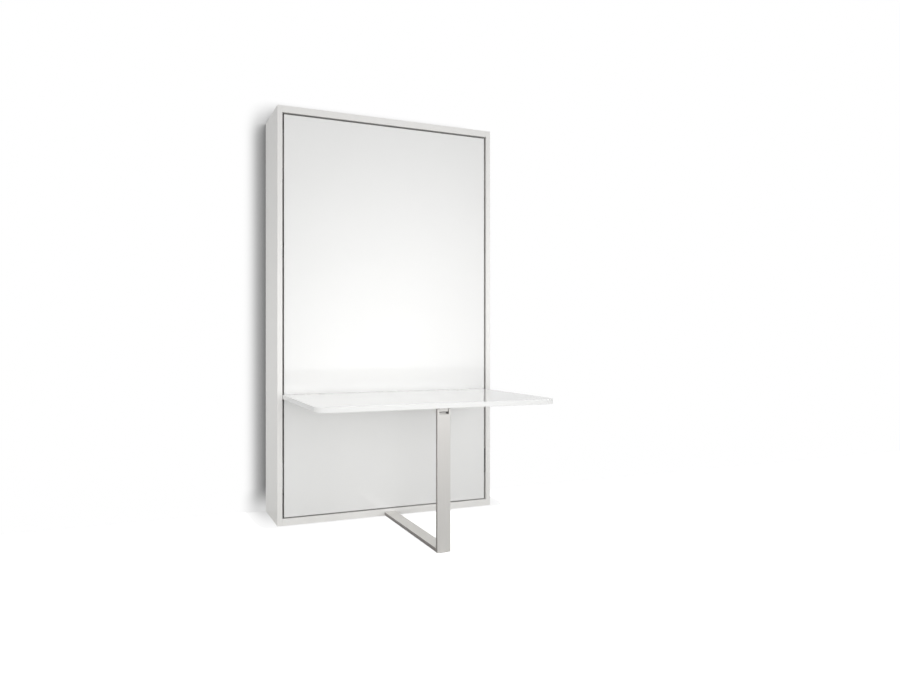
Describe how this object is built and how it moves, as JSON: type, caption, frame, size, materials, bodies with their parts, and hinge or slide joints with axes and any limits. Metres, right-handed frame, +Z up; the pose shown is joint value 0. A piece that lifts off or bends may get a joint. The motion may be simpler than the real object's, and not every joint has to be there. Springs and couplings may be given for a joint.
{
  "type": "wall bed with desk",
  "caption": "Wall bed in a shallow white cabinet; a desk hinged to its front stays level as the bed swings down, on a folding steel support.",
  "frame": {"origin": "on the floor, in the middle of the overall footprint with the desk down", "axes": "+X across the width, -Y out of the front, +Z up"},
  "size_m": [1.316, 1.241, 2.34],
  "materials": {
    "cabinet_lacquer": "satin white lacquer on board",
    "gloss_lacquer": "high-gloss white lacquer on board",
    "satin_steel": "satin nickel",
    "white_steel": "white powder coat",
    "beech": "clear matt",
    "ticking": "woven",
    "elastic": "woven",
    "nylon": "moulded",
    "rubber": "matt",
    "grey_steel": "light grey powder coat",
    "zinc_steel": "zinc plated"
  },
  "bodies": {
    "cabinet": {"side_board_left": "cabinet_lacquer", "side_board_right": "cabinet_lacquer", "top_board": "cabinet_lacquer", "base_board": "cabinet_lacquer", "back_board": "cabinet_lacquer", "wall_rail_upper": "cabinet_lacquer", "wall_rail_lower": "cabinet_lacquer", "pivot_plate_left": "zinc_steel", "pivot_plate_right": "zinc_steel", "plate_screws": "zinc_steel", "torsion_bar": "zinc_steel", "panel_stops": "rubber"},
    "bed": {"bed_panel": "gloss_lacquer", "frame_tube_left": "grey_steel", "frame_tube_right": "grey_steel", "frame_tube_head": "grey_steel", "frame_tube_foot": "grey_steel", "frame_tube_middle": "grey_steel", "pivot_bushes": "nylon", "torsion_clamp": "zinc_steel", "slats": "beech", "mattress": "ticking", "mattress_straps": "elastic", "bed_leg_brackets": "grey_steel", "bed_leg_pins": "zinc_steel", "panel_hinge_leaves": "white_steel", "desk_hinge_pins": "white_steel"},
    "desk": {"desk_board": "gloss_lacquer", "desk_hinge_leaves": "white_steel", "post_lug": "satin_steel", "lug_screws": "zinc_steel"},
    "post": {"support_post": "satin_steel", "post_pin": "satin_steel", "post_end_caps": "nylon", "post_corner_leaf": "satin_steel", "corner_pin": "satin_steel", "post_glide": "rubber"},
    "floor_link": {"floor_tube": "satin_steel", "floor_corner_leaf": "satin_steel", "floor_tube_caps": "nylon", "floor_glides": "rubber"},
    "leg_left": {"bed_leg_left": "grey_steel", "bed_shoe_left": "rubber"},
    "leg_right": {"bed_leg_right": "grey_steel", "bed_shoe_right": "rubber"}
  },
  "joints": [
    {"name": "bed_tilt", "type": "hinge", "parent": "cabinet", "child": "bed", "pos_m": [0, 0.2645, 0.28], "axis": [1, 0, 0], "range_deg": [0, 90]},
    {"name": "desk_level", "type": "hinge", "parent": "bed", "child": "desk", "pos_m": [0, 0.2285, 0.73], "axis": [-1, 0, 0], "range_deg": [0, 90]},
    {"name": "post_fold", "type": "hinge", "parent": "desk", "child": "post", "pos_m": [0, -0.5815, 0.688], "axis": [-1, 0, 0], "range_deg": [0, 90]},
    {"name": "floor_link_fold", "type": "hinge", "parent": "post", "child": "floor_link", "pos_m": [0, -0.5675, 0.026], "axis": [1, 0, 0], "range_deg": [0, 90]},
    {"name": "leg_left_swing", "type": "hinge", "parent": "bed", "child": "leg_left", "pos_m": [-0.625, 0.2725, 2.204], "axis": [-1, 0, 0], "range_deg": [0, 90]},
    {"name": "leg_right_swing", "type": "hinge", "parent": "bed", "child": "leg_right", "pos_m": [0.625, 0.2725, 2.204], "axis": [-1, 0, 0], "range_deg": [0, 90]}
  ],
  "couplings": [
    {"joint": "desk_level", "follows": "bed_tilt", "ratio": 1},
    {"joint": "post_fold", "follows": "bed_tilt", "ratio": 1},
    {"joint": "floor_link_fold", "follows": "bed_tilt", "ratio": 1},
    {"joint": "leg_left_swing", "follows": "bed_tilt", "ratio": 1},
    {"joint": "leg_right_swing", "follows": "bed_tilt", "ratio": 1}
  ]
}
